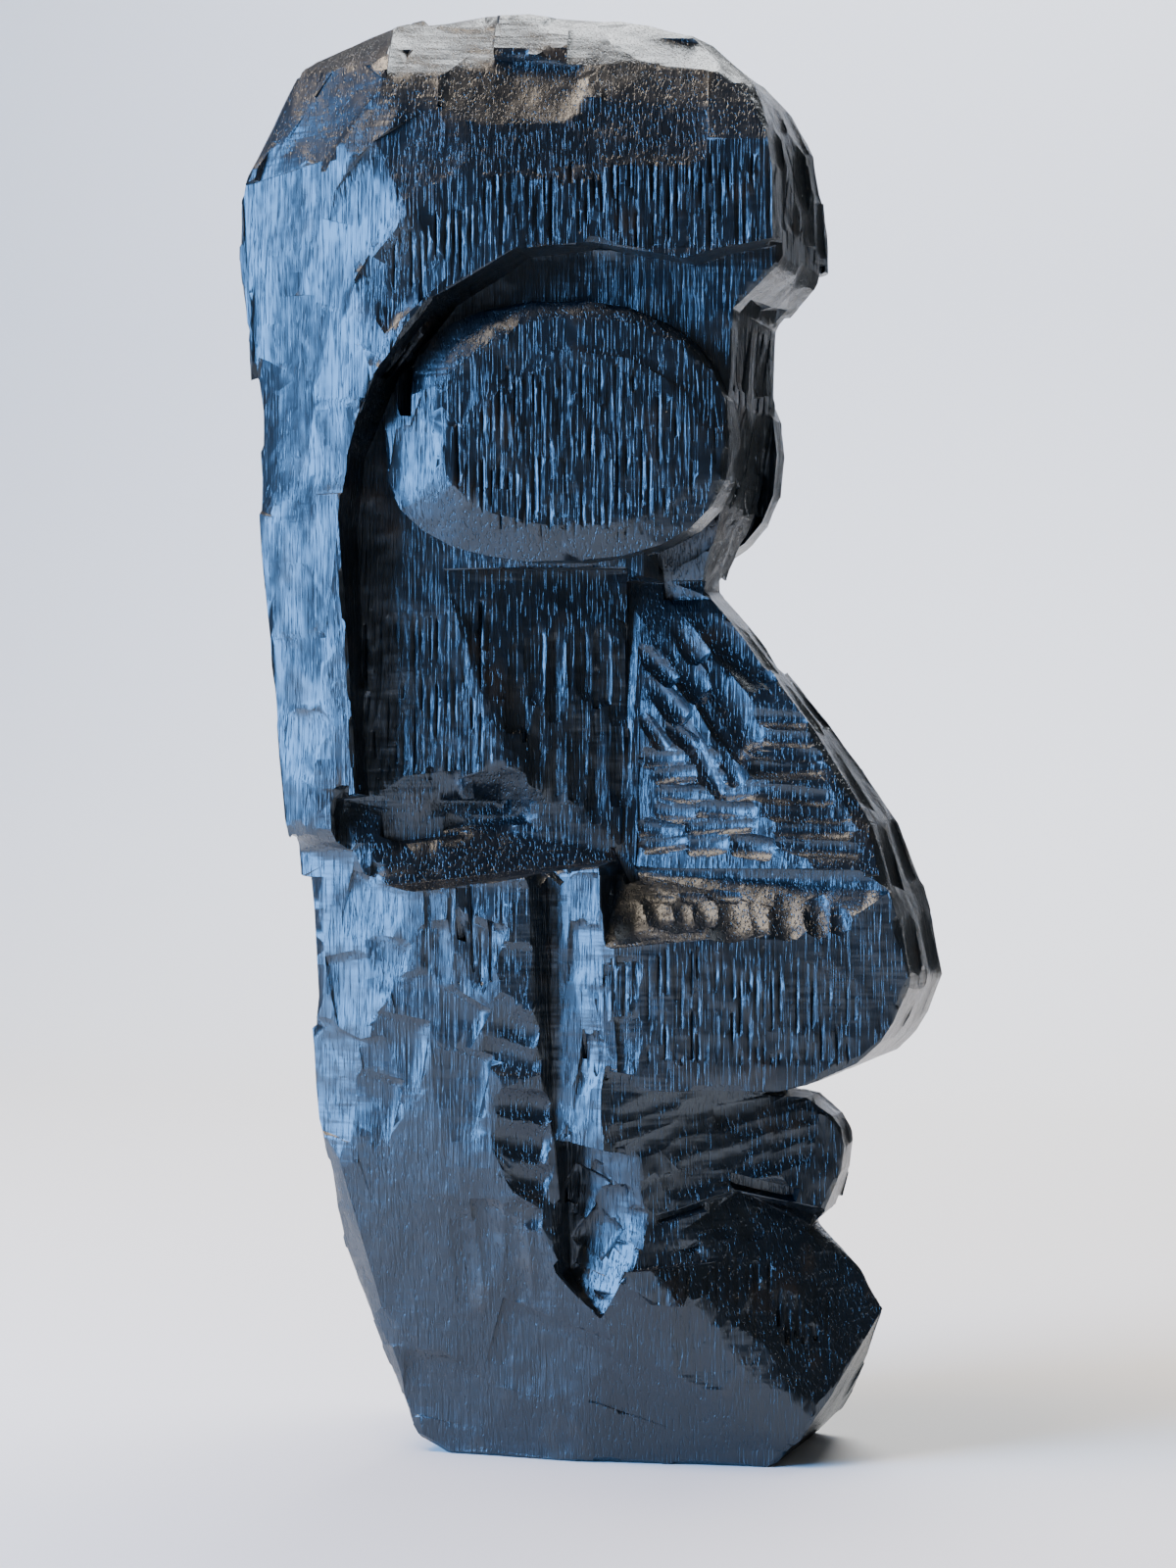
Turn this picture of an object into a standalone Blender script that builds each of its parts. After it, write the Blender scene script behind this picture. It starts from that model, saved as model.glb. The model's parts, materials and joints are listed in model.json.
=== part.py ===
"""A wooden head carved from one wedge of a split log, standing on the flat cut under its neck.

It faces -Y. Its right side is on -X. The left side is the mirror image of the right one.
Points on the head are written (w, f, z): out to the side from the middle plane, forward of the
middle of the depth, and up from the base, in millimetres on a head of the height below.
"""

import math

import bmesh
import bpy
from mathutils import Vector

HEIGHT = 0.445
UNIT = HEIGHT / 445.0

# The two sides close towards the face like the faces of a split log.
FLARE = math.radians(17.0)
BROW_FRONT = 65.7
BROW_HALF = 35.0
REACH = 130.0
FACET = 27.0

# The middle outline, clockwise from the crown, one group of points for each feature.
CROWN = [(-45.0, 442.0), (-24.0, 445.0), (0.0, 443.0), (24.0, 438.0), (42.0, 431.0)]
CROWN += [(56.0, 416.0), (62.0, 403.0)]
BROW = [(64.5, 390.0), (64.5, 362.0), (50.0, 348.0)]
BRIDGE = [(49.0, 320.0), (45.0, 290.0), (36.0, 265.0)]
RIDGE = [(57.0, 241.0), (71.0, 223.0), (91.0, 193.0), (100.5, 163.0), (103.9, 146.0)]
UNDER_NOSE = [(99.0, 134.0), (95.0, 128.0), (88.0, 121.5), (74.0, 115.0), (56.6, 111.0)]
UPPER_LIP = [(68.0, 110.0), (76.0, 104.0), (80.0, 98.0), (78.6, 87.0), (74.0, 74.5), (69.0, 70.0)]
CHIN = [(77.0, 63.0), (87.0, 53.0), (90.0, 45.0), (79.0, 21.0), (71.0, 8.0), (62.0, 0.0)]
NAPE = [(-38.0, 0.0), (-47.0, 4.0), (-51.0, 10.0), (-60.0, 35.0), (-70.0, 59.0)]
NAPE += [(-78.0, 112.0), (-79.5, 150.0)]
BACK = [(-90.0, 240.0), (-98.0, 317.0), (-103.0, 364.0), (-103.0, 382.0), (-97.0, 411.0), (-83.0, 429.0)]

# The eye, an egg-shaped disc standing in its socket.
EYE_SIDES = 26
EYE_MIDDLE = (0.0, 309.0)
EYE_REACH = 51.0
EYE_RISE = 42.0
EYE_DROP = 38.0
EYE_FRONT_SINK = 4.5
EYE_BACK_SINK = 12.0

# Its flat face lies nearer the nose, so the bevel is broadest at the temple.
FACE_MIDDLE = (6.0, 311.0)
FACE_REACH = 38.0
FACE_RISE = 32.0
FACE_DROP = 29.0
FACE_SINK = 3.5

# The floor of the socket, from its half-width at the bridge to its half-width at the temple.
BRIDGE_HALF = 28.0
SOCKET_SLOPE = math.tan(math.radians(11.6))
SOCKET_FRONT = 49.0
BROW_ARCH = [(49.0, 364.0), (39.0, 361.0), (12.0, 366.0), (-10.0, 364.0), (-32.0, 350.0), (-50.0, 327.0)]
TEMPLE = [(-60.0, 304.0), (-62.0, 282.0), (-60.0, 233.0), (-58.5, 199.0)]


def at(w, f, z):
    """The point in the scene, in metres."""
    return Vector((-w * UNIT, -f * UNIT, z * UNIT))


def side(f):
    """Half the width between the two split faces at this depth."""
    return BROW_HALF + (BROW_FRONT - f) * math.tan(FLARE)


def socket_floor(f):
    return BRIDGE_HALF + (SOCKET_FRONT - f) * SOCKET_SLOPE


def add_mesh(name, shape):
    bmesh.ops.recalc_face_normals(shape, faces=shape.faces)
    if shape.calc_volume(signed=True) < 0.0:
        bmesh.ops.reverse_faces(shape, faces=shape.faces)
    mesh = bpy.data.meshes.new(name)
    shape.to_mesh(mesh)
    shape.free()
    piece = bpy.data.objects.new(name, mesh)
    bpy.context.scene.collection.objects.link(piece)
    return piece


def hull(name, points):
    """The smallest convex solid round the points."""
    shape = bmesh.new()
    for point in points:
        shape.verts.new(at(*point))
    done = bmesh.ops.convex_hull(shape, input=shape.verts)
    left_over = done["geom_interior"] + done["geom_unused"]
    inside = [item for item in left_over if isinstance(item, bmesh.types.BMVert)]
    bmesh.ops.delete(shape, geom=list(set(inside)), context="VERTS")
    return add_mesh(name, shape)


def prism(name, near, far):
    """A solid between two outlines with the same number of points."""
    shape = bmesh.new()
    first = [shape.verts.new(at(*point)) for point in near]
    last = [shape.verts.new(at(*point)) for point in far]
    shape.faces.new(first)
    shape.faces.new(last[::-1])
    for i in range(len(first)):
        j = (i + 1) % len(first)
        shape.faces.new([first[j], first[i], last[i], last[j]])
    return add_mesh(name, shape)


def mirrored(piece):
    """The same piece on the left side."""
    shape = bmesh.new()
    shape.from_mesh(piece.data)
    for vertex in shape.verts:
        vertex.co.x = -vertex.co.x
    return add_mesh(piece.name + "_left", shape)


def combine(body, other, operation, solver="EXACT"):
    step = body.modifiers.new(other.name, "BOOLEAN")
    step.operation = operation
    step.solver = solver
    step.object = other
    other.hide_render = True
    other.display_type = "WIRE"


def carve(body, cutter, solver="EXACT"):
    combine(body, cutter, "DIFFERENCE", solver)
    combine(body, mirrored(cutter), "DIFFERENCE", solver)


def leave(body, piece):
    combine(body, piece, "UNION")
    combine(body, mirrored(piece), "UNION")


def chisel(body, name, point, yaw, tilt, run=(-260.0, 260.0), low=-20.0, high=480.0):
    """Pares away all that stands out past a plane through the point.

    Yaw turns the plane's face forward from straight out to the side, and tilt turns it up.
    The cut stays between the two heights, and runs forward from the point between the two distances.
    """
    yaw = math.radians(yaw)
    tilt = math.radians(tilt)
    out = Vector((math.cos(yaw) * math.cos(tilt), math.sin(yaw) * math.cos(tilt), math.sin(tilt)))
    along = Vector((-math.sin(yaw), math.cos(yaw), 0.0))
    up = out.cross(along)
    if up.z < 0.0:
        up = -up
    middle = Vector(point)
    corners = []
    for across in run:
        for height in (low, high):
            rise = (height - middle.z) / up.z
            foot = middle + along * across + up * rise
            corners.append(tuple(foot))
            corners.append((foot.x + out.x * REACH, foot.y + out.y * REACH, foot.z))
    carve(body, hull(name, corners))


def pare(body, name, plane, outline):
    """Takes off what stands wider than a plane, inside an outline of f and z.

    The plane is w = start + rise * f + lift * z.
    """
    start, rise, lift = plane
    floor = [(start + rise * f + lift * z, f, z) for f, z in outline]
    carve(body, hull(name, floor + [(REACH, f, z) for _, f, z in floor]))


def blank():
    """The log wedge sawn to the middle outline."""
    outline = CROWN + BROW + BRIDGE + RIDGE + UNDER_NOSE + UPPER_LIP + CHIN + NAPE + BACK
    body = prism(
        "carved_head",
        [(REACH, f, z) for f, z in outline],
        [(-REACH, f, z) for f, z in outline],
    )
    plan = [(side(120.0), 120.0), (side(-46.0), -46.0), (67.0, -60.0), (49.0, -103.5), (46.0, -110.0)]
    plan += [(-w, f) for w, f in reversed(plan)]
    log = prism("log", [(w, f, 470.0) for w, f in plan], [(w, f, -30.0) for w, f in plan])
    combine(body, log, "INTERSECT")
    return body


def round_the_crown(body):
    """Rows of chisel facets where the sides turn over into the top, each struck a little differently."""
    rows = (("side", 17.0, 35.0, 65.7, 5), ("flank", -24.0, 67.0, -60.0, 2))
    for side_name, yaw, w, f, count in rows:
        turn = math.radians(yaw)
        for row, (height, inset, tilt) in enumerate(((397.0, 0.0, 20.0), (422.0, 9.0, 46.0))):
            middle = (w - inset * math.cos(turn), f - inset * math.sin(turn), height)
            for i in range(count):
                lean = tilt + (3.0 - 1.0 * row) * math.sin(2.4 * i + 1.9 * row)
                twist = yaw + 2.5 * math.sin(3.1 * i + row)
                start = 6.0 - FACET * (i + 0.4 * row)
                ends = (start - FACET - 4.0, start)
                if i == 0:
                    ends = (ends[0], 60.0)
                if i == count - 1:
                    ends = (-160.0, ends[1])
                chisel(body, f"crown_{side_name}_{row}_{i}", middle, twist, lean, run=ends, low=380.0)
    chisel(body, "temple_front", (31.0, 61.0, 408.0), 52.0, 38.0, low=350.0)
    chisel(body, "nape_corner", (49.0, -103.0, 388.0), -58.0, 26.0, low=330.0)
    chisel(body, "nape_top", (44.0, -88.0, 424.0), -48.0, 52.0, low=380.0)


def taper_the_sides(body):
    """The hood narrows down to the cheek, and the jaw narrows down to the base."""
    chisel(body, "hood_side", (70.0, 0.0, 350.0), 0.0, -3.7)
    chisel(body, "jaw_side", (38.0, 0.0, 0.0), 0.0, -9.6)
    chisel(body, "neck_back", (37.0, -48.0, 0.0), -32.0, -15.0, high=150.0)
    hood_foot = 196.0
    for name, front, back in (
        ("cheek_front", (55.0, 2.0), (59.0, -42.0)),
        ("cheek_back", (59.0, -42.0), (50.0, -82.0)),
    ):
        run = Vector((back[0] - front[0], back[1] - front[1])).normalized()
        start = (front[0] - run.x * 150.0, front[1] - run.y * 150.0)
        end = (back[0] + run.x * 150.0, back[1] + run.y * 150.0)
        points = []
        for w, f in (start, end):
            points += [(w, f, -20.0), (w, f, hood_foot - 12.0)]
            points += [(w + 60.0, f, -20.0), (w + 60.0, f, hood_foot + 34.0)]
        carve(body, hull(name, points))


def socket(body):
    """The deep socket round the eye, open to the front above the nose and running down to the cheek."""
    cheek_edge = [(-20.0, 207.0), (4.0, 196.0), (18.0, 184.0), (18.0, 240.0), (90.0, 240.0)]
    outline = [(90.0, 372.0)] + BROW_ARCH + TEMPLE + cheek_edge
    near = [(socket_floor(f), f, z) for f, z in outline]
    far = [(REACH, f, z) for f, z in outline]
    carve(body, prism("socket", near, far))


def brow_underside(body):
    """The slope under the front of the brow, from the outer corner in to the bridge."""
    carve(
        body,
        hull(
            "brow_underside",
            [
                (27.5, 90.0, 347.0),
                (29.0, 45.0, 347.0),
                (50.0, 90.0, 361.0),
                (50.0, 45.0, 361.0),
                (90.0, 90.0, 361.0),
                (90.0, 45.0, 361.0),
                (90.0, 90.0, 346.0),
                (90.0, 45.0, 346.0),
            ],
        ),
    )


def egg(middle, reach, rise, drop):
    """An egg-shaped outline, flatter along the bottom."""
    points = []
    for i in range(EYE_SIDES):
        turn = 2.0 * math.pi * i / EYE_SIDES
        across = math.cos(turn)
        up = math.sin(turn)
        f = middle[0] + reach * math.copysign(abs(across) ** 0.88, across)
        if up > 0.0:
            z = middle[1] + rise * up**0.92
        else:
            z = middle[1] - drop * abs(up) ** 0.75
        points.append((f, z))
    return points


def eye(body):
    """The eye disc: a flat face with a broad bevel all round."""
    points = []
    for f, z in egg(EYE_MIDDLE, EYE_REACH, EYE_RISE, EYE_DROP):
        share = (EYE_MIDDLE[0] + EYE_REACH - f) / (2.0 * EYE_REACH)
        sink = EYE_FRONT_SINK + (EYE_BACK_SINK - EYE_FRONT_SINK) * share
        points += [(socket_floor(f) - 6.0, f, z), (side(f) - sink, f, z)]
    points += [(side(f) - FACE_SINK, f, z) for f, z in egg(FACE_MIDDLE, FACE_REACH, FACE_RISE, FACE_DROP)]
    leave(body, hull("eye", points))


def bridge_sides(body):
    """Narrows the bridge between the eyes down to the root of the nose."""
    floor = [(28.5, 24.0, 322.0), (28.5, 110.0, 322.0), (10.5, 24.0, 262.0), (10.5, 110.0, 262.0)]
    carve(body, hull("bridge_side", floor + [(90.0, f, z) for _, f, z in floor]))


def cheek_hollow(body):
    """The deep gouged hollow between the eye, the cheek and the nose."""
    floor = [
        (socket_floor(-38.0) + 0.5, -38.0, 270.0),
        (26.0, 2.0, 270.0),
        (16.5, 18.0, 270.0),
        (socket_floor(-14.0) + 0.5, -14.0, 200.0),
        (28.0, 5.0, 192.0),
        (22.5, 17.0, 178.0),
    ]
    carve(body, hull("hollow", floor + [(90.0, f, z) for _, f, z in floor]))


def cheek_shelf(body):
    """The slope from the floor of the hollow down and out to the cheek."""
    top = [(52.0, -66.0, 200.0), (49.0, -54.0, 202.0), (42.0, -20.0, 208.0)]
    top += [(28.0, 5.0, 198.0), (22.5, 17.0, 183.0)]
    foot = [(63.0, -67.0, 173.0), (62.0, -50.0, 172.0), (60.0, -30.0, 175.0)]
    foot += [(55.0, -4.0, 186.0), (49.0, 18.0, 181.0)]
    out = [(90.0, -67.0, 172.0), (90.0, -66.0, 202.0), (90.0, -20.0, 209.0)]
    out += [(90.0, -30.0, 174.0), (90.0, 18.0, 181.0)]
    carve(body, hull("shelf", top + foot + out))


def nose_sides(body):
    """Pares the nose to its ridge, then scoops the slope that leaves the nostril standing out."""
    nose = [(14.0, 178.0), (14.0, 267.0), (124.0, 267.0), (124.0, 178.0)]
    pare(body, "nose_back", (38.5, 0.065, -0.0864), nose)
    pare(body, "nose_front", (102.3, -0.24, -0.3149), nose)
    crease = [(24.0, 14.0, 179.0), (27.0, 60.0, 179.0), (24.0, 88.0, 179.0)]
    wing = [(side(18.0), 16.0, 156.0), (side(50.0), 50.0, 160.0), (side(84.0), 84.0, 164.0)]
    wing += [(23.0, 97.0, 173.0)]
    out = [(90.0, 16.0, 156.0), (90.0, 84.0, 164.0), (90.0, 16.0, 182.0), (90.0, 97.0, 182.0)]
    carve(body, hull("nostril_scoop", crease + wing + out))


def muzzle(body):
    """The groove beside the nose, the triangle at the mouth's corner, and the cheek falling to both."""
    points = []
    for z, drift, depth in ((198.0, 0.0, 6.0), (52.0, 6.5, 1.5)):
        points += [
            (60.0, -9.0 + drift, z),
            (50.0 - depth, -4.0 + drift, z),
            (50.0, 22.0, z),
            (90.0, -9.0 + drift, z),
            (90.0, 22.0, z),
        ]
    carve(body, hull("fold", points))
    floor = [(38.5, 1.0, 97.0), (39.0, 2.5, 58.0), (44.0, 13.5, 46.0)]
    floor += [(41.5, 30.0, 76.0), (42.0, 25.0, 93.0)]
    wall = [(60.0, -0.5, 98.0), (60.0, 3.0, 56.0), (60.0, 13.5, 45.0)]
    out = [(90.0, 33.0, 76.0), (90.0, 27.0, 97.0)]
    out += [(90.0, f, z) for _, f, z in wall]
    carve(body, hull("mouth_corner", floor + wall + out))
    fall = [(55.3, -22.0, 100.0), (56.2, -6.0, 142.0), (47.2, 8.0, 50.0)]
    fall += [(46.5, 4.0, 100.0), (44.0, 6.0, 72.0)]
    carve(body, hull("cheek_fall", fall + [(90.0, f, z) for _, f, z in fall]))


def lips(body):
    """Both lips close to the front like a bow, and the mouth is one cut between them."""
    floor = [
        (47.0, 18.0, 113.0),
        (14.0, 62.0, 113.0),
        (49.0, 15.0, 88.0),
        (46.0, 20.0, 60.0),
        (7.0, 82.0, 108.0),
        (9.0, 80.0, 88.0),
        (12.0, 76.0, 66.0),
        (0.0, 96.0, 108.0),
        (2.0, 94.0, 66.0),
    ]
    out = [(90.0, 15.0, 113.0), (90.0, 96.0, 113.0), (90.0, 96.0, 64.0), (90.0, 20.0, 60.0)]
    carve(body, hull("upper_lip_side", floor + out))
    below_mouth = [(20.0, -20.0), (20.0, 58.5), (50.0, 81.5)]
    below_mouth += [(72.0, 70.0), (124.0, 42.0), (124.0, -20.0)]
    pare(body, "chin_side", (100.9, -0.876, -0.48), below_mouth)
    for name, front, back in (
        ("mouth_front", (84.0, 68.5, -3.0), (49.0, 81.0, 23.0)),
        ("mouth_back", (51.0, 81.0, 21.5), (29.0, 74.0, 37.0)),
    ):
        points = []
        for f, z, floor in (front, back):
            points += [(floor, f, z), (90.0, f, z + 36.0), (90.0, f, z - 36.0)]
        carve(body, hull(name, points))


def jaw(body):
    """The bevel under the chin, and the neck drawn in below the line of the jaw."""
    front = [(10.0, -20.0), (10.0, 49.0), (124.0, 49.0), (124.0, -20.0)]
    pare(body, "jaw_bevel", (45.7, -0.276, 0.111), front)
    pare(body, "neck_front", (38.5, -0.182, 0.27), [(-20.0, -20.0), (-20.0, 60.0)] + front[2:])


def wood():
    material = bpy.data.materials.new("stained_wood")
    material.use_nodes = True
    surface = material.node_tree.nodes["Principled BSDF"]
    surface.inputs["Base Color"].default_value = (0.018, 0.024, 0.032, 1.0)
    surface.inputs["Roughness"].default_value = 0.45
    return material


def main():
    for item in list(bpy.data.objects):
        bpy.data.objects.remove(item)
    head = blank()
    round_the_crown(head)
    taper_the_sides(head)
    socket(head)
    brow_underside(head)
    bridge_sides(head)
    cheek_hollow(head)
    cheek_shelf(head)
    nose_sides(head)
    muzzle(head)
    lips(head)
    jaw(head)
    eye(head)
    head.data.materials.append(wood())


main()
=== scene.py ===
# %% [markdown]
# # A head carved from a split log
#
# The real object is one wedge of a split log, roughed out with a broad chisel, hollowed with
# gouges and stained blue-black. Nearly all of its character is in the cuts, so most of this
# lesson is about cutting a mesh the way a carver cuts wood.
#
# The solid from the CAD part is loaded first. It already has the outline, the planes and the
# hollows. Every cut made here only takes wood away, so nothing grows outside the solid's box.

# %% Load the solid
import json
import math
import random

import bmesh
import bpy
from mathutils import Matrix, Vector, noise
from mathutils.bvhtree import BVHTree

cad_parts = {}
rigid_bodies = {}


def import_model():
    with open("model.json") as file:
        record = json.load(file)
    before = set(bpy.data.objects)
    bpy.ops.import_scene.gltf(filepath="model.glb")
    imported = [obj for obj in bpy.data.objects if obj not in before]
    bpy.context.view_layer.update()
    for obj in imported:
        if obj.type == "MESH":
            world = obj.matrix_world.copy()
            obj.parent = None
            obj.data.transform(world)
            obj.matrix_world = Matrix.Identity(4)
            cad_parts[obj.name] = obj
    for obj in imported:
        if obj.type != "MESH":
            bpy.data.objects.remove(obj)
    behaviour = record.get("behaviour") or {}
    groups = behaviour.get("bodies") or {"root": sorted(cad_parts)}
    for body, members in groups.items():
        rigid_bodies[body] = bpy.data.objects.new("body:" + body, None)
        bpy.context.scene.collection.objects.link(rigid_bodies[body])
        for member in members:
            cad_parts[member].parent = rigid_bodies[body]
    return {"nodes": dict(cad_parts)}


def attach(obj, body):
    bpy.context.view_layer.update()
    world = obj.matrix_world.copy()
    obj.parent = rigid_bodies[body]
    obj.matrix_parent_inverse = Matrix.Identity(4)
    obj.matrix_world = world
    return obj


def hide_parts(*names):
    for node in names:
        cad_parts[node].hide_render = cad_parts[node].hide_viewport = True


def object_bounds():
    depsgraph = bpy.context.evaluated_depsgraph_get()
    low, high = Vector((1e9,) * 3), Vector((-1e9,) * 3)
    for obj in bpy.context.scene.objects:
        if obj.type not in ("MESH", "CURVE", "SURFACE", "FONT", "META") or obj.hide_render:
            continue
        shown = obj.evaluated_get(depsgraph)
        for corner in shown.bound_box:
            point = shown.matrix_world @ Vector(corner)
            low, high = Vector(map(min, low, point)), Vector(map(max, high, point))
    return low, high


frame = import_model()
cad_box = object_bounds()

MM = 0.001
solid = frame["nodes"]["carved_head"]
print("faces in the solid:", len(solid.data.polygons))

# %% [markdown]
# ## Where the viewer stands
#
# The marks were measured on the photograph. Picture a board, squared off in millimetres, that
# stands in the middle of the head and faces the camera. A mark's place is how far it lies to the
# right of the middle and how high it lies, both read on that board.

# %% The sight lines
TURN = math.radians(18)
DISTANCE = 1.0
EYE_LEVEL = 0.205
MIDDLE = Vector((0, 0.005, 0))
AHEAD = Vector((math.cos(TURN), math.sin(TURN), 0))
RIGHTWARD = Vector((math.sin(TURN), -math.cos(TURN), 0))
viewpoint = MIDDLE - AHEAD * DISTANCE + Vector((0, 0, EYE_LEVEL))
print("camera at", tuple(round(value, 3) for value in viewpoint))

# %% [markdown]
# ## The block that gets carved
#
# A loaded model has its points split along every hard edge, so it isn't one closed skin yet.
# Merging the points that share a place closes it, and a closed skin is what a Boolean needs.

# %% Close the skin
TOUCHING = 1e-6


def closed_copy(source, name):
    shape = bmesh.new()
    shape.from_mesh(source.data)
    bmesh.ops.remove_doubles(shape, verts=shape.verts, dist=TOUCHING)
    mesh = bpy.data.meshes.new(name)
    shape.to_mesh(mesh)
    shape.free()
    block = bpy.data.objects.new(name, mesh)
    bpy.context.scene.collection.objects.link(block)
    return block


head = closed_copy(solid, "head")
print("points:", len(head.data.vertices))

# %% [markdown]
# ## Wood that was split, not planed
#
# The planes of the solid are exact, and a split log is never flat. The block is sliced on a
# loose grid to give it points to move, and each point sinks by a soft noise of up to 1.4 mm.
# Long edges lose their ruler look, and nothing moves outwards. The sawn foot stays flat.

# %% Slice and settle the block
GRID = 9.0
GRID_SHIFT = 0.37
CROSSWISE = 0.8
HOLLOWS = 34.0
DENTS = HOLLOWS * 0.4
SINK = 1.4
FOOT = 0.001
shape = bmesh.new()
shape.from_mesh(head.data)
low, high = (Vector(corner) for corner in cad_box)
for axis in (2, 1, 0):
    for i in range(1, int((high[axis] - low[axis]) / (GRID * MM)) + 1):
        level = low[axis] + (i - GRID_SHIFT) * GRID * MM
        geometry = set()
        for face in shape.faces:
            reach = [point.co[axis] for point in face.verts]
            if abs(face.normal[axis]) < CROSSWISE and min(reach) < level < max(reach):
                geometry.update((face, *face.edges, *face.verts))
        middle, facing = Vector((0, 0, 0)), Vector((0, 0, 0))
        middle[axis] = level
        facing[axis] = 1.0
        bmesh.ops.bisect_plane(
            shape, geom=list(geometry), dist=TOUCHING, plane_co=middle, plane_no=facing
        )
bmesh.ops.triangulate(shape, faces=shape.faces)
shape.normal_update()
moves = []
for point in shape.verts:
    if point.co.z > FOOT:
        swell = 0.5 + 0.5 * noise.noise(point.co * 1000 / HOLLOWS + Vector((3.1, 0.4, 7.7)))
        swell += 0.3 * noise.noise(point.co * 1000 / DENTS)
        moves.append((point, point.co - point.normal * max(0.0, min(1.0, swell)) * SINK * MM))
for point, place in moves:
    point.co = Vector((place.x, place.y, max(place.z, FOOT)))
shape.to_mesh(head.data)
shape.free()
print("points after slicing:", len(head.data.vertices))

# %% [markdown]
# ## Setting the tool on the wood
#
# A carver rests the edge on the wood before pushing. A ray does the same here. It comes in from
# outside and gives the point that it meets and the way the surface faces there.

# %% Rays
def skin_of(block):
    return BVHTree.FromPolygons(
        [point.co.copy() for point in block.data.vertices],
        [list(face.vertices) for face in block.data.polygons],
    )


skin = skin_of(head)


def touch(start, toward):
    """The point and facing where a ray meets the wood, or None if it misses."""
    toward = Vector(toward).normalized()
    place, facing, _, _ = skin.ray_cast(Vector(start), toward)
    if place is None:
        return None
    return place, -facing if facing.dot(toward) > 0 else facing


def seen(right, up):
    """The spot behind a place on the board, in millimetres."""
    board = MIDDLE + RIGHTWARD * (right * MM) + Vector((0, 0, up * MM))
    return touch(viewpoint, board - viewpoint)


def across_x(vector):
    """The same vector on the other side of the head."""
    return Vector((-vector.x, vector.y, vector.z))


# %% [markdown]
# ## The tools
#
# Every cut is a convex wedge. Along its run it starts above the wood, sinks to its full depth
# and lifts sharply, where the chip broke off. Across its width a chisel is almost flat and a
# gouge is round. A scorper with a V edge opens the grain. A convex wedge is easy to make, since
# its hull needs nothing but the points.

# %% Shape one cut
CHISEL = (-1.0, -0.6, 0.6, 1.0)
GOUGE = (-1.0, -0.72, -0.36, 0.0, 0.36, 0.72, 1.0)
V_TOOL = (-1.0, 0.0, 1.0)
PUSH = ((0.0, -0.3), (0.35, 0.55), (0.7, 0.95), (0.9, 1.0), (1.0, 0.45))
FLAT = ((0.0, 0.1), (0.2, 0.9), (0.8, 1.0), (1.0, 0.9))
LEVEL = ((0.0, -0.2), (0.12, 0.8), (0.5, 1.0), (0.88, 0.8), (1.0, -0.2))
# In metres: where the test rays start above the wood, how far one may go, and what a miss counts.
HOVER = 0.008
RING_HOVER, RING_REACH = 0.012, 0.03
BOTTOMLESS = 1.0
chance = random.Random(7)
cuts = []


def wobble(amount):
    return chance.uniform(-amount, amount)


def drops(place, facing, *reaches):
    """How far the wood falls away from the spot's level at each reach, in metres."""
    for reach in reaches:
        hit, _, _, gap = skin.ray_cast(place + reach + facing * HOVER, -facing)
        yield BOTTOMLESS if hit is None else gap - HOVER


def mean_facing(place, facing, reach):
    """The facing averaged over a ring round the spot, which bridges the solid's own facets."""
    side = facing.orthogonal().normalized()
    total = facing.copy()
    for i in range(8):
        turn = math.pi * i / 4
        arm = (side * math.cos(turn) + facing.cross(side) * math.sin(turn)) * reach * MM
        hit, normal, _, gap = skin.ray_cast(place + arm + facing * RING_HOVER, -facing)
        if hit is not None and gap < RING_REACH:
            total += normal if normal.dot(facing) > 0 else -normal
    return total.normalized()


def tipped(facing, degrees):
    """The facing leaned over a little in a chance direction."""
    spread = math.tan(math.radians(degrees))
    return (facing + Vector((wobble(spread), wobble(spread), wobble(spread)))).normalized()


def cut(
    spot, along, length, width, depth,
    edge=CHISEL, path=PUSH, bend=1.0, roll=0.0, lift=4.0, play=3.5, tip=0.0, ring=0.0,
):
    """Queues one cut, centred on the spot. Lengths are in millimetres, the tip in degrees.

    Where the wood falls away or rises by more than the play, there is no cut.
    """
    if spot is None:
        return
    place, facing = spot
    if ring:
        facing = mean_facing(place, facing, ring)
    if tip:
        facing = tipped(facing, tip)
    run = Vector(along) - facing * Vector(along).dot(facing)
    if run.length < 1e-5:
        return
    run.normalize()
    across = facing.cross(run)
    reach, spread = run * length * 0.4 * MM, across * width * 0.35 * MM
    if max(map(abs, drops(place, facing, reach, -reach, spread, -spread))) > play * MM:
        return

    def point(share, lane, sink):
        offset = run * (share - 0.5) * length + across * lane * width / 2 - facing * sink
        return place + offset * MM

    wedge = [
        point(share, lane, depth * (fall - bend * lane * lane + roll * lane))
        for share, fall in path
        for lane in edge
    ]
    wedge += [
        point(share, lane, -lift)
        for share in (-0.05, 1.02)
        for lane in (-1.08, 1.08)
    ]
    cuts.append(wedge)


def both(spot, along, *sizes, **shape):
    """The same cut on both sides of the head, each a little different."""
    if spot is None:
        return
    for flip in (False, True):
        place, facing = (across_x(spot[0]), across_x(spot[1])) if flip else spot
        run = across_x(Vector(along)) if flip else Vector(along)
        length, width, depth = (size * (1 + wobble(0.1)) for size in sizes)
        cut((place, facing), run, length, width, depth, **shape)


def mark(start, stop, width, depth, **shape):
    """A cut between two places on the board, and its twin on the other side."""
    first, last = seen(*start), seen(*stop)
    middle = seen((start[0] + stop[0]) / 2, (start[1] + stop[1]) / 2)
    if not (first and last and middle):
        return
    reach = math.dist(start, stop)
    along = last[0] - first[0]
    both(middle, along, min(along.length / MM, reach * 1.3), width, depth, **shape)


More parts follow.
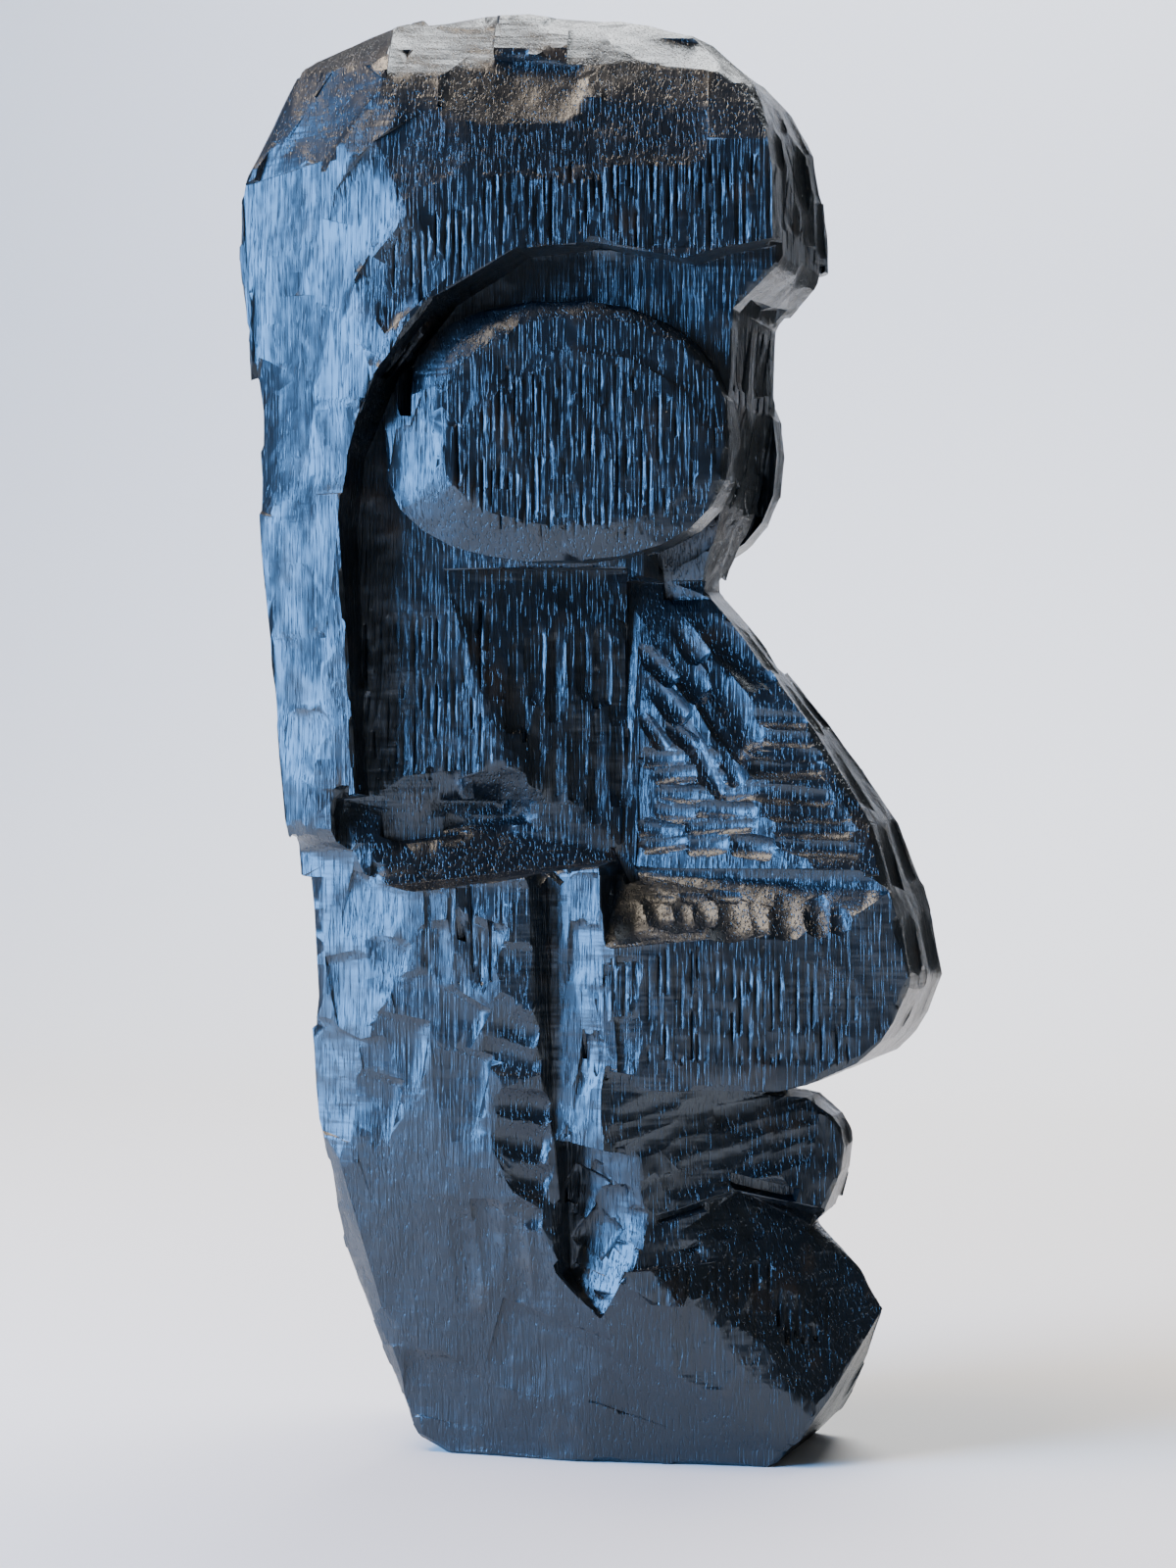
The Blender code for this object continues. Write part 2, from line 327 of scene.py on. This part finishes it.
def chip(right, up, slant, length, width, depth, turn=0.0, **shape):
    """A chisel facet at a place on the board, its run turned by slant degrees.

    A positive turn makes the facet face further forward.
    """
    spot = seen(right, up)
    if spot is None:
        return
    lean = math.radians(slant)
    along = RIGHTWARD * math.cos(lean) + Vector((0, 0, math.sin(lean)))
    forward = Vector((0, -math.tan(math.radians(turn)), 0))
    spot = spot[0], (spot[1] + forward).normalized()
    both(spot, along, length, width, depth, **shape)


def spaced(start, stop, pitch):
    """Evenly pitched values, each moved a little."""
    count = max(1, round(abs(stop - start) / pitch))
    return [
        start + (stop - start) * (i + 0.5) / count + wobble(pitch * 0.2)
        for i in range(count)
    ]


# %% [markdown]
# ## Taking the chips off
#
# All the wedges of one stage go into a collection, and one Boolean takes them from the block.
# The Manifold solver is made for closed skins and takes hundreds of wedges in a second. After
# each stage the rays meet the newly cut wood, so fine marks lie on top of broad ones.

# %% Carve one stage
def hull_of(points, name):
    shape = bmesh.new()
    for point in points:
        shape.verts.new(point)
    made = bmesh.ops.convex_hull(shape, input=shape.verts)
    inner = {
        item
        for item in made["geom_interior"] + made["geom_unused"]
        if isinstance(item, bmesh.types.BMVert)
    }
    bmesh.ops.delete(shape, geom=list(inner), context="VERTS")
    bmesh.ops.recalc_face_normals(shape, faces=shape.faces)
    if shape.calc_volume(signed=True) < 0:
        bmesh.ops.reverse_faces(shape, faces=shape.faces)
    mesh = bpy.data.meshes.new(name)
    shape.to_mesh(mesh)
    shape.free()
    return bpy.data.objects.new(name, mesh)


def drop_splinters(mesh):
    """Leaves only the largest connected part, since a splinter that came loose has fallen off."""
    shape = bmesh.new()
    shape.from_mesh(mesh)
    waiting, largest = set(shape.verts), set()
    while waiting:
        part, rim = set(), [waiting.pop()]
        while rim:
            vertex = rim.pop()
            part.add(vertex)
            near = {link.other_vert(vertex) for link in vertex.link_edges} & waiting
            waiting -= near
            rim += near
        largest = max(largest, part, key=len)
    splinters = [vertex for vertex in shape.verts if vertex not in largest]
    bmesh.ops.delete(shape, geom=splinters, context="VERTS")
    shape.to_mesh(mesh)
    shape.free()


def carve(block, title):
    """Takes the queued cuts away and sets the rays on the new surface."""
    global skin
    chance.seed(title)
    tools = bpy.data.collections.new("tools")
    bpy.context.scene.collection.children.link(tools)
    for number, wedge in enumerate(cuts):
        tools.objects.link(hull_of(wedge, f"cut_{number}"))
    step = block.modifiers.new("carve", "BOOLEAN")
    step.operation = "DIFFERENCE"
    step.solver = "MANIFOLD"
    step.operand_type = "COLLECTION"
    step.collection = tools
    depsgraph = bpy.context.evaluated_depsgraph_get()
    carved = bpy.data.meshes.new_from_object(block.evaluated_get(depsgraph))
    block.modifiers.clear()
    drop_splinters(carved)
    block.data = carved
    for tool in list(tools.objects):
        bpy.data.objects.remove(tool)
    bpy.data.collections.remove(tools)
    skin = skin_of(block)
    print(title, "cuts:", len(cuts), "faces:", len(carved.polygons))
    cuts.clear()


# %% [markdown]
# ## Easing the edges
#
# No edge of carved wood stays straight and sharp for long. Each outward corner of the solid gets
# a row of small bevels of uneven depth. Inward corners, undersides and edges that face the
# middle of the head are left crisp. A corner counts if the wood falls away on both sides of it.

# %% Ease the outward corners
SHARP = math.radians(33)
SHORTEST = 2.5
LEAST_FALL, MOST_FALL = 0.0008, 0.02
ANY_PLAY = 99
shape = bmesh.new()
shape.from_mesh(head.data)
for edge in shape.edges:
    if not edge.is_convex or edge.calc_face_angle(0.0) < SHARP:
        continue
    start, stop = edge.verts[0].co.copy(), edge.verts[1].co.copy()
    place = (start + stop) / 2
    facing = (edge.link_faces[0].normal + edge.link_faces[1].normal).normalized()
    length = (stop - start).length / MM
    aside = (stop - start).cross(facing).normalized() * 4 * MM
    falls = list(drops(place, facing, aside, -aside))
    underside = facing.z < -0.5 and place.z > 0.03
    reachable = place.x * facing.x > -0.0005 and not underside and length > SHORTEST
    if reachable and min(falls) > LEAST_FALL and max(falls) < MOST_FALL:
        sizes = length * 1.5 + 5, 12, 0.9 + wobble(0.5)
        cut((place, facing), stop - start, *sizes, path=LEVEL, bend=0.4, play=ANY_PLAY)
shape.free()
carve(head, "eased edges")

# %% [markdown]
# ## The crown
#
# A broad chisel rounded the crown off in flat chips of 25 to 35 mm, laid over each other like
# scales. Each chip is tipped a little to one side, which gives it one clean step along an edge.

# %% Chisel the crown and the temple
# Right of the middle, up, slant in degrees, length and width.
CROWN_CHIPS = (
    (-96, 317, 88, 26, 15), (-82, 313, 88, 24, 14), (-78, 336, 85, 22, 14), (-94, 342, 88, 24, 16),
    (-77, 351, 80, 18, 13), (-94, 358, 86, 18, 15), (-83, 366, 72, 24, 15), (-96, 381, 85, 20, 15),
    (-72, 384, 42, 28, 16), (-94, 398, 58, 24, 17), (-53, 402, 34, 29, 17), (-82, 414, 46, 32, 15),
    (-24, 406, 8, 36, 16), (13, 410, -4, 38, 15), (49, 408, -24, 34, 18), (-70, 410, 30, 28, 13),
    (-63, 428, 26, 28, 12), (-25, 423, -8, 33, 16), (4, 427, -10, 34, 15), (39, 424, -12, 38, 16),
    (26, 436, -12, 30, 12), (58, 424, -34, 24, 14), (66, 398, -58, 26, 16), (-58, 368, 40, 26, 15),
    (-68, 352, 55, 22, 13),
)
TOP_ROWS = 420
ON_A_BEND = {"ring": 13, "tip": 3}
for right, up, slant, length, width in CROWN_CHIPS:
    path, play = (LEVEL, 4.5) if up > TOP_ROWS else (FLAT, 9)
    sizes = length * 1.3, width * 1.6, 2.2
    chip(right, up, slant + wobble(5), *sizes, path=path, bend=0.45, play=play, **ON_A_BEND)
TEMPLE = {"bend": 0.6, "tip": 3.5, "play": 6}
for up in (262, 290):
    for right in (-94, -82):
        chip(right, up + wobble(4), 88 + wobble(8), 32, 24, 1.3, **TEMPLE)
for right, up in ((-90, 236), (-80, 246), (-88, 212), (-80, 218)):
    chip(right, up, 88 + wobble(8), 32, 24, 1.3, **TEMPLE)

# %% Chisel the top and the back
BACK_ROWS = ((28, 20, 420), (58, 20, 425), (90, 12, 430), (122, 20, 425), (152, 20, 420))
BACK_MIDDLE = 0.055
ROUNDED_ABOVE = 385
for forward in spaced(-66, 52, 17):
    for lateral in (-21, 0, 21):
        spot = touch(((lateral + wobble(4)) * MM, -forward * MM, 0.6), (0, 0, -1))
        run = (1.0, wobble(0.7), 0)
        cut(spot, run, 34, 30, 2.0, path=LEVEL, bend=0.5, play=8, **ON_A_BEND)
for yaw, foot, top in BACK_ROWS:
    for up in spaced(foot, top, 30):
        turn = math.radians(yaw + wobble(5))
        rise = 0.35 if up > ROUNDED_ABOVE else 0.0
        out = Vector((math.cos(turn), math.sin(turn), rise)).normalized()
        spot = touch(Vector((0, BACK_MIDDLE, up * MM)) + out * 0.3, -out)
        run = (wobble(0.7), 0, 1.0)
        cut(spot, run, 44, 34, 2.2, path=FLAT, bend=0.45, play=6.5, **ON_A_BEND)

# %% [markdown]
# ## The eye and the face planes
#
# The eye disc has a broad bevel pared round it in short facets, widest at the temple. The cheek,
# the lips and the jaw were pared with the same chisel, more lightly.

# %% Pare the eye
EYE_RIM = (
    (-59, 290, 62, 32, 15), (-55, 305, 80, 22, 12), (-48, 319, 62, 20, 12), (-37, 330, 44, 21, 12),
    (-25, 339, 28, 22, 11), (-10, 348, 8, 25, 11), (10, 347, -10, 24, 11), (26, 340, -30, 22, 10),
    (37, 327, -55, 22, 9), (42, 310, -85, 22, 9), (40, 293, -105, 20, 9), (31, 281, -140, 20, 9),
    (16, 276, -165, 26, 11), (-6, 274, 178, 28, 12), (-28, 276, 172, 28, 12),
    (-46, 281, 158, 22, 11),
)
for right, up, slant, length, width in EYE_RIM:
    sizes = length * 1.2, width * 1.35, 1.2
    chip(right, up, slant + wobble(4), *sizes, path=LEVEL, bend=0.8, tip=2, play=3)

# %% Pare the cheek, the lips and the jaw
LIP_LINE = 100
CHEEK_CHIPS = (
    (-84, 158, 80, 26, 18), (-86, 134, 85, 26, 18), (-66, 160, 70, 24, 18), (-68, 138, 100, 26, 20),
    (-50, 158, 96, 26, 16), (-30, 160, 88, 26, 15), (-50, 134, 110, 22, 16), (-34, 138, 80, 24, 14),
    (-78, 112, 75, 30, 20), (-58, 112, 100, 26, 20), (-76, 88, 70, 34, 22), (-54, 84, 110, 30, 22),
    (-70, 60, 65, 34, 22), (-48, 52, 60, 34, 22), (-58, 30, 60, 30, 22), (-30, 36, 110, 32, 22),
    (-8, 22, 170, 34, 18), (22, 16, 170, 34, 16), (-34, 12, 0, 34, 14), (10, 36, 150, 32, 14),
)
for right, up, slant, length, width in CHEEK_CHIPS:
    if up > LIP_LINE:
        sizes, style = (length * 1.2, width * 1.4, 1.1), {"bend": 0.7, "tip": 3}
    else:
        sizes, style = (length * 1.5, width * 1.5, 1.0), {"path": LEVEL, "tip": 2}
    chip(right, up, slant + wobble(8), *sizes, play=6, **style)
# Right of the middle, up, slant and turn in degrees, for the chips that face another way.
TURNED_CHIPS = (
    (-24, 160, 90, 14), (-26, 142, 80, 16), (-40, 150, 70, 12), (-30, 124, 100, 16),
    (-38, 170, 90, 10), (-46, 128, 60, 10), (-56, 166, 80, 9), (-44, 108, 75, 10),
    (-62, 118, 80, 8), (-66, 144, 80, 9), (-52, 148, 95, 11), (-70, 100, 75, 8),
)
for right, up, slant, turn in TURNED_CHIPS:
    chip(right, up, slant, 28, 19, 1.7, turn=turn, bend=0.8, play=8)
CORNER_CHIPS = (
    (4, 76, 60, -14), (12, 68, 50, -16), (4, 62, 70, -10), (0, 152, 85, -8), (6, 134, 95, 6),
    (3, 116, 80, -8), (14, 140, 85, -14), (15, 122, 95, -16), (10, 104, 80, -10), (-2, 168, 90, 8),
)
for right, up, slant, turn in CORNER_CHIPS:
    chip(right, up, slant, 18, 12, 1.0, turn=turn, bend=0.8, play=8)
for right, up in ((38, 28), (52, 22), (60, 36), (68, 60), (76, 46), (66, 24)):
    chip(right, up, wobble(90), 26, 20, 0.9, path=LEVEL, roll=wobble(0.3))
for right, up in ((-72, 194), (-52, 198), (-32, 202), (-82, 184), (-58, 186), (-36, 190)):
    chip(right, up, 8 + wobble(8), 26, 18, 1.0, bend=0.7, tip=4)
# To the side of the middle, lowest, highest and width, for the rows down the front.
FRONT_CHIPS = (
    (9, 12, 46, 18), (6, 86, 104, 12), (11, 126, 168, 16), (8, 172, 218, 14), (5, 222, 262, 10),
    (10, 276, 345, 18), (10, 356, 420, 20), (23, 360, 412, 14),
)
for lateral, foot, top, width in FRONT_CHIPS:
    for up in spaced(foot, top, 19):
        spot = touch((lateral * MM, -0.3, up * MM), (0, 1, 0))
        both(spot, (0.15, 0, -1.0), 28, width, 1.0, bend=0.8, tip=3, play=4)
carve(head, "chisel facets")

# %% [markdown]
# ## Gouge work
#
# On the nose the flutes slant down from the root and stop in lens-shaped ends. Lower down they
# turn level. Short deep ones fill the scoop over the nostril, and long ones run down the hollow
# beside the nose. They are mostly 5 to 10 mm wide.

# %% Gouge the nose
# Start and end, each right of the middle and up, then width.
NOSE_FLUTES = (
    ((30, 261), (55, 238), 9), ((25, 259), (36, 243), 7), ((35, 248), (52, 215), 10),
    ((18, 255), (36, 232), 8), ((13, 251), (28, 236), 6), ((17, 240), (30, 225), 7),
    ((30, 239), (49, 213), 7), ((29, 228), (42, 201), 6), ((38, 223), (47, 204), 6),
    ((16, 229), (24, 216), 5), ((23, 226), (34, 216), 5), ((34, 214), (42, 200), 4),
    ((40, 257), (58, 236), 6),
)
for start, stop, width in NOSE_FLUTES:
    mark(start, stop, width * 1.45, 3.0, edge=GOUGE, roll=wobble(0.25), play=7)
NOSTRIL_TOP = 183
SHALLOW = {"edge": GOUGE, "path": LEVEL, "play": 5}
for up in spaced(NOSTRIL_TOP, 216, 5.2):
    right = 17 + wobble(3)
    limit = 40 + (216 - up) * 0.35
    while right < limit:
        reach = chance.uniform(14, 28)
        mark((right, up + wobble(1)), (right + reach, up + wobble(2.5)), 7.6, 1.9, **SHALLOW)
        right += reach * 0.9
for up in spaced(NOSTRIL_TOP, 234, 5.4):
    ridge = 88 - (up - NOSTRIL_TOP) * 0.43
    start = max(48.0, ridge - 32)
    mark((start, up + wobble(1)), (ridge, up - 1 + wobble(2)), 7.8, 1.8, **SHALLOW)

# %% Gouge the scoop over the nostril
# Right of the middle, top, foot, width and depth.
SCOOP_FLUTES = (
    (13, 170, 156, 9, 1.6), (19, 172, 160, 7, 2.2), (27, 171, 158, 8, 1.5),
    (34, 172, 160, 7, 2.4), (43, 172, 155, 11, 2.6), (51, 171, 156, 7, 1.6),
    (60, 171, 152, 10, 3.0), (70, 170, 151, 8, 3.0), (77, 170, 155, 6, 2.2),
)
for right, top, foot, width, depth in SCOOP_FLUTES:
    mark((right, top), (right + 4, foot), width * 1.5, depth, edge=GOUGE, roll=wobble(0.3), play=12)
for up in (170, 166, 162):
    for right in (16, 27, 37):
        start, stop = (right, up + wobble(1)), (right + 11, up - 2)
        mark(start, stop, 6, 1.0, edge=GOUGE, bend=1.1, path=LEVEL, play=7)

# %% Gouge the hollow
for right in spaced(-26, 14, 6.4):
    top = 262 - abs(right) * 0.3
    for high, low in ((top, 226), (234, 196)):
        sway = wobble(2)
        start, stop = (right, high + wobble(5)), (right + sway, low + wobble(5))
        mark(start, stop, 8.2, 1.35, edge=GOUGE, bend=1.1)

# %% Gouge the fold, the cheek beside it and the mouth
# Right of the middle, up and reach.
FOLD_FLUTES = (
    (-33, 118, 21), (-35, 104, 23), (-33, 92, 21), (-27, 81, 15), (-28, 70, 14), (-30, 128, 16),
)
for right, up, reach in FOLD_FLUTES:
    mark((right, up + 3), (right + reach, up - 2), 12, 2.4, edge=GOUGE, play=16)
for right in (-40, -32, -24, -17):
    start, stop = (right, 72 + wobble(3)), (right + 3, 40 + wobble(5))
    mark(start, stop, 10, 1.1, edge=GOUGE, path=LEVEL, play=6)
for up in spaced(80, 106, 5.5):
    for right in (6, 26, 46, 66):
        mark((right + wobble(3), up - 4), (right + 26, up + 3), 9, 0.8, bend=1.05, **SHALLOW)
for right, up in ((0, 78), (8, 72), (14, 66), (4, 64), (20, 74), (10, 56), (2, 52)):
    chip(right, up, 60 + wobble(40), 13, 12, 0.9, roll=wobble(0.4))
for right in spaced(36, 72, 8):
    mark((right, 74), (right + 3, 62), 8, 0.7, edge=GOUGE)
carve(head, "gouge flutes")

# %% [markdown]
# ## Opened grain
#
# Where the log was only split and hardly pared, the soft early wood has gone and the hard late
# wood stands up in short upright ribs. A V tool between the ribs gives them real height, so the
# light catches their edges as it does on the real head.

# %% Open the grain
def open_grain(left, right, low, high, depth=0.8, pitch=2.6):
    """Short upright scores between two heights, given as numbers or as functions of the place."""
    for place in spaced(left, right, pitch):
        bottom = low(place) if callable(low) else low
        top = (high(place) if callable(high) else high) - chance.uniform(0, 5)
        while top > bottom + 4:
            foot = max(bottom, top - chance.uniform(8, 30))
            mark(
                (place, top),
                (place + wobble(0.3), foot),
                chance.uniform(1.4, 2.5),
                depth * chance.uniform(0.55, 1.15),
                edge=V_TOOL,
                path=LEVEL,
                bend=1.15,
                lift=2.0,
            )
            top = foot - chance.uniform(0.5, 5)


def brow_edge(right):
    """The brow's lower edge, which curves down towards the temple."""
    return 373 - max(0.0, -22 - right) ** 1.25 * 0.55


def crown_edge(right):
    """Where the grain meets the crown's chips, which come lower towards the temple."""
    return 405 - max(0.0, -20 - right) * 0.62


def disc(half_width, half_height, middle_right, middle_up, sign):
    """The lower edge of an oval for a sign of -1, and the upper edge for 1."""

    def edge(right):
        share = min(1.0, abs(right - middle_right) / half_width)
        return middle_up + sign * half_height * math.sqrt(1 - share * share)

    return edge


open_grain(-62, 74, brow_edge, crown_edge, 0.9)
open_grain(-42, 34, disc(42, 30, -4, 309, -1), disc(42, 32, -4, 309, 1), 0.8)
open_grain(-72, -30, 206, 262, 0.9)
open_grain(-26, 14, 200, 256, 0.5, 4.5)
open_grain(18, 98, 116, lambda right: 155 - max(0.0, right - 70) * 0.6, 0.85)
open_grain(38, 58, 285, 352, 0.5, 3.4)
open_grain(20, 80, 30, lambda right: 62 - abs(right - 46) * 0.4, 0.55, 3.2)
open_grain(-52, -22, 142, 176, 0.5, 3.4)
open_grain(-2, 16, 112, 150, 0.5, 3.2)
carve(head, "opened grain")

# %% [markdown]
# ## Crisp ridges, soft flutes
#
# A flute is made of narrow flat strips. They should look round, while the ridges between flutes
# stay sharp. Shading the mesh smooth and marking the steep folds as sharp gives both.

# %% Shade
CREASE = math.radians(20)
for face in head.data.polygons:
    face.use_smooth = True
head.data.set_sharp_from_angle(angle=CREASE)
even = head.modifiers.new("even_shading", "WEIGHTED_NORMAL")
even.keep_sharp = True
triangles = sum(len(face.vertices) - 2 for face in head.data.polygons)
print("triangles:", triangles)

# %% [markdown]
# ## The stain
#
# The real finish is ring-porous wood, stained blue-black and rubbed to a satin. The eye gets a
# nearly black surface whose sheen picks out every ridge. Fibres run upright, pores are short
# dark pits along them, and faint ripples lie across, where the blade chattered.

# %% Material tools
def srgb(text, alpha=1.0):
    """A hex colour as the linear values that shaders take."""
    values = [int(text[i : i + 2], 16) / 255 for i in (1, 3, 5)]
    return [v / 12.92 if v <= 0.04045 else ((v + 0.055) / 1.055) ** 2.4 for v in values] + [alpha]


def add(tree, kind, inputs=None, **settings):
    """Adds a node. Inputs map a socket to a value, or to another node's output."""
    made = tree.nodes.new(kind)
    for name, value in settings.items():
        setattr(made, name, value)
    for name, value in (inputs or {}).items():
        if isinstance(value, bpy.types.NodeSocket):
            tree.links.new(value, made.inputs[name])
        else:
            made.inputs[name].default_value = value
    return made


def texture(tree, vector, size, detail, **more):
    """Noise whose features are about this many millimetres across."""
    inputs = {"Vector": vector, "Scale": 1000.0 / size, "Detail": detail, **more}
    return add(tree, "ShaderNodeTexNoise", inputs).outputs["Fac"]


def remap(tree, value, start, stop, low=0.0, high=1.0):
    """Takes the values between start and stop to the range from low to high."""
    inputs = {"Value": value, "From Min": start, "From Max": stop, "To Min": low, "To Max": high}
    return add(tree, "ShaderNodeMapRange", inputs).outputs[0]


def times(tree, first, second):
    return add(tree, "ShaderNodeMath", {0: first, 1: second}, operation="MULTIPLY").outputs[0]


def relief(tree, height, depth, **under):
    """A bump up to this many millimetres deep, laid over the one under it."""
    inputs = {"Height": height, "Strength": 1.0, "Distance": depth * MM, **under}
    return add(tree, "ShaderNodeBump", inputs).outputs[0]


def blend(tree, share, first, second):
    inputs = {"Factor": share, "A": first, "B": second}
    return add(tree, "ShaderNodeMix", inputs, data_type="RGBA").outputs["Result"]


# %% Stained wood
stain = bpy.data.materials.new("blue_black_stained_ring_porous_wood")
stain.use_nodes = True
tree = stain.node_tree
tree.nodes.clear()
source = add(tree, "ShaderNodeTexCoord").outputs
place = source["Object"]
upright = add(tree, "ShaderNodeMapping", {"Vector": place, "Scale": (1.0, 1.0, 0.05)}).outputs[0]
level = add(tree, "ShaderNodeMapping", {"Vector": place, "Scale": (0.12, 0.12, 1.0)}).outputs[0]

fibres = texture(tree, upright, 1.6, 3.0, Roughness=0.6)
pores = texture(tree, upright, 0.7, 1.0)
chatter = texture(tree, level, 1.8, 1.0)
patches = texture(tree, place, 38.0, 3.0)
swell = texture(tree, place, 16.0, 2.0)

# The grain stands fully open only on upright faces, and less on those turned to the back.
facing = add(tree, "ShaderNodeSeparateXYZ", {"Vector": source["Normal"]}).outputs
forward = remap(tree, facing["Y"], 0.3, 0.05, low=0.25)
level_share = add(tree, "ShaderNodeMath", {0: facing["Z"]}, operation="ABSOLUTE").outputs[0]
steep = remap(tree, level_share, 0.32, 0.12, low=0.3)
open_share = times(tree, forward, steep)
ribs = times(tree, remap(tree, fibres, 0.49, 0.72, high=0.42), open_share)
pits = remap(tree, pores, 0.34, 0.44)
ripples = times(tree, chatter, remap(tree, patches, 0.35, 0.65))

grain = relief(tree, ribs, 0.42)
pitted = relief(tree, pits, 0.12, Normal=grain)
rippled = relief(tree, ripples, 0.22, Normal=pitted)
uneven = relief(tree, swell, 1.6, Normal=rippled)

tone = remap(tree, patches, 0.35, 0.7)
colour = blend(tree, tone, srgb("#060b10"), srgb("#0e151b"))
worn = blend(tree, remap(tree, swell, 0.6, 0.75, high=0.7), colour, srgb("#2b231c"))
shader = add(
    tree,
    "ShaderNodeBsdfPrincipled",
    {
        "Base Color": worn,
        "Roughness": 0.32,
        "IOR": 1.68,
        "Specular Tint": srgb("#dcebf7"),
        "Normal": uneven,
    },
)
add(tree, "ShaderNodeOutputMaterial", {"Surface": shader.outputs[0]})
head.data.materials.clear()
head.data.materials.append(stain)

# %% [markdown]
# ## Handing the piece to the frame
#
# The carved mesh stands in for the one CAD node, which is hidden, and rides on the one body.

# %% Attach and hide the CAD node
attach(head, "root")
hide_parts("carved_head")

# %% [markdown]
# ## Floor, light and camera
#
# A pale sweep stands behind. A large cool light to the left meets the planes turned that way,
# a warm one overhead meets the crown, and the planes that face the camera are left dark. The
# front of the nose is seen nearly edge on and mirrors what stands to the right. The sweep's
# wall ends just out of the picture there and above, so that side and the crown mirror the dim
# room.

# %% Sweep
FLOOR_START = -2.6
BEND_START = 1.0
BEND = 0.6
BEND_STEPS = 12
WALL_TOP = 1.1
WALL_END = -0.22
SIDE = 4.0


def sweep():
    shape = bmesh.new()
    profile = [(FLOOR_START, 0.0), (BEND_START, 0.0)]
    for i in range(1, BEND_STEPS + 1):
        turn = math.pi / 2 * i / BEND_STEPS
        profile.append((BEND_START + BEND * math.sin(turn), BEND - BEND * math.cos(turn)))
    profile.append((BEND_START + BEND, WALL_TOP))
    stations = (-SIDE, WALL_END, SIDE)
    rows = [[shape.verts.new((x, y, z)) for y in stations] for x, z in profile]
    for near, far in zip(rows, rows[1:]):
        shape.faces.new((near[1], far[1], far[2], near[2]))
    shape.faces.new((rows[0][0], rows[1][0], rows[1][1], rows[0][1]))
    mesh = bpy.data.meshes.new("paper_sweep")
    shape.to_mesh(mesh)
    shape.free()
    for face in mesh.polygons:
        face.use_smooth = True
    paper = bpy.data.objects.new("paper_sweep", mesh)
    bpy.context.scene.collection.objects.link(paper)
    matte = bpy.data.materials.new("matte_white_paper")
    matte.use_nodes = True
    surface = matte.node_tree.nodes["Principled BSDF"]
    surface.inputs["Base Color"].default_value = srgb("#e9e8e6")
    surface.inputs["Roughness"].default_value = 0.9
    mesh.materials.append(matte)
    return paper


paper = sweep()


# %% Lights
def light(name, where, target, size, power, colour):
    data = bpy.data.lights.new(name, "AREA")
    data.shape = "RECTANGLE"
    data.size, data.size_y = size
    data.energy = power
    data.color = srgb(colour)[:3]
    lamp = bpy.data.objects.new(name, data)
    lamp.location = where
    lamp.rotation_euler = (Vector(target) - Vector(where)).to_track_quat("-Z", "Y").to_euler()
    bpy.context.scene.collection.objects.link(lamp)


middle = (0, 0, 0.22)
light("cool_window", (-0.95, 1.1, 0.45), middle, (0.75, 1.1), 95, "#7ab8ff")
light("warm_overhead", (-0.35, 0.55, 1.5), middle, (0.8, 0.8), 38, "#ffe0c0")
light("sweep_wash", (1.1, -0.1, 1.9), (1.4, -0.1, 0.2), (1.4, 1.4), 66, "#ffffff")

world = bpy.data.worlds.new("soft_room")
world.use_nodes = True
room = world.node_tree.nodes["Background"]
room.inputs["Color"].default_value = srgb("#dfe3e8")
room.inputs["Strength"].default_value = 0.1
bpy.context.scene.world = world

# %% Camera
lens = bpy.data.cameras.new("camera")
lens.lens = 73
lens.sensor_width = 36
camera = bpy.data.objects.new("camera", lens)
camera.location = viewpoint
camera.rotation_euler = AHEAD.to_track_quat("-Z", "Y").to_euler()
bpy.context.scene.collection.objects.link(camera)
bpy.context.scene.camera = camera
